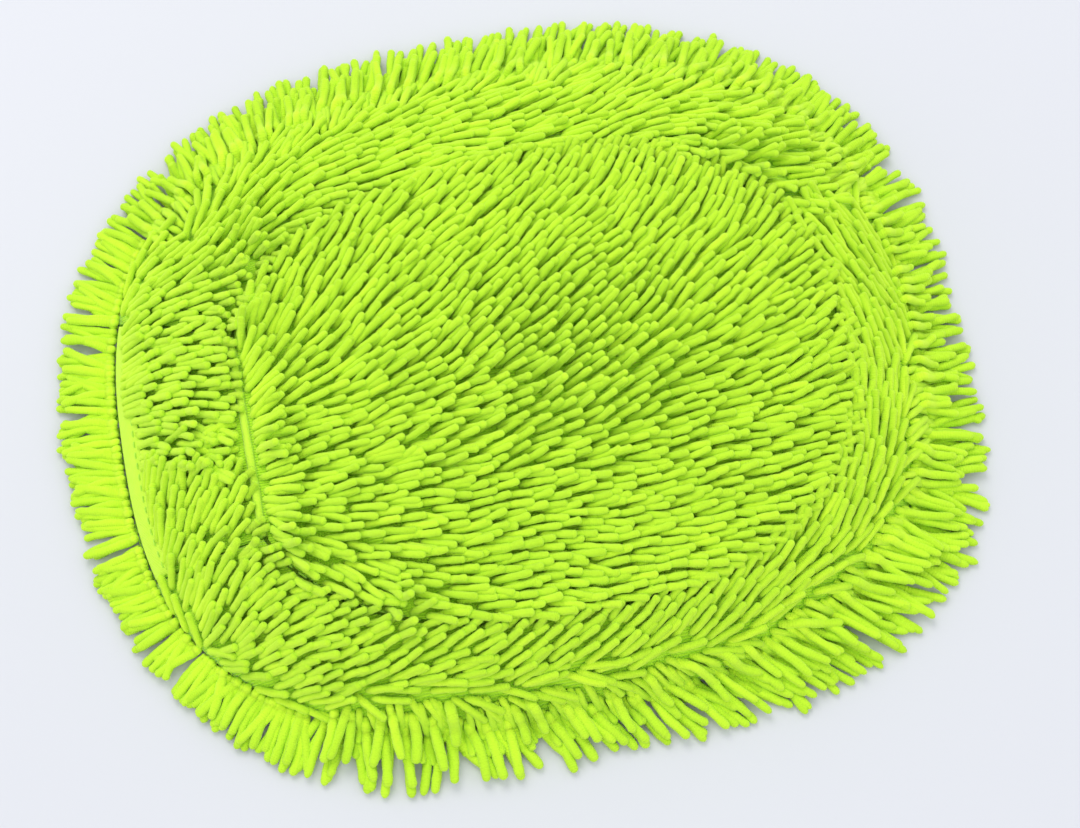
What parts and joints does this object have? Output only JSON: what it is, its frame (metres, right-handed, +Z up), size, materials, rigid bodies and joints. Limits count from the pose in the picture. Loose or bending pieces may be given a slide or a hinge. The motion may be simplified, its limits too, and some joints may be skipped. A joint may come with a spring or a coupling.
{
  "type": "wash mitt",
  "caption": "Oval gusseted chenille wash mitt with a noodle pile face, a fringed hem and a wrist flap over the hand pocket.",
  "frame": {"origin": "on the surface that the mitt lies on, under the middle of its fringe", "axes": "+X from the wrist end to the toe end, +Y to the mitt's left when seen from above with the toe ahead, +Z up from the back panel to the noodle face"},
  "size_m": [0.312, 0.268, 0.0406],
  "materials": {
    "chenille_noodles": "soft matt microfibre noodles",
    "chenille_backing": "close knit",
    "plain_knit": "plain knit",
    "binding_tape": "woven tape",
    "thread": "polyester thread",
    "lining": "smooth woven lining",
    "foam": "open-cell foam"
  },
  "bodies": {
    "mitt_body": {"back_panel": "plain_knit", "hem_binding": "binding_tape", "hem_fringe": "chenille_noodles", "hem_stitches": "thread", "mouth_facing": "binding_tape", "side_band": "chenille_backing", "side_band_pile": "chenille_noodles", "band_end_tapes": "thread", "face_panel": "chenille_backing", "face_pile": "chenille_noodles", "face_seam_tape": "binding_tape", "face_seam_stitches": "thread", "foam_pad": "foam", "palm_lining": "lining"},
    "wrist_flap": {"wrist_panel": "chenille_backing", "wrist_panel_pile": "chenille_noodles", "wrist_hem_binding": "binding_tape", "wrist_side_tapes": "thread", "wrist_hem_stitches": "thread"}
  },
  "joints": [
    {"name": "wrist_flap_lift", "type": "hinge", "parent": "mitt_body", "child": "wrist_flap", "pos_m": [-0.0915, -0.01, 0.026], "axis": [0, 1, 0], "range_deg": [0, 45]}
  ]
}
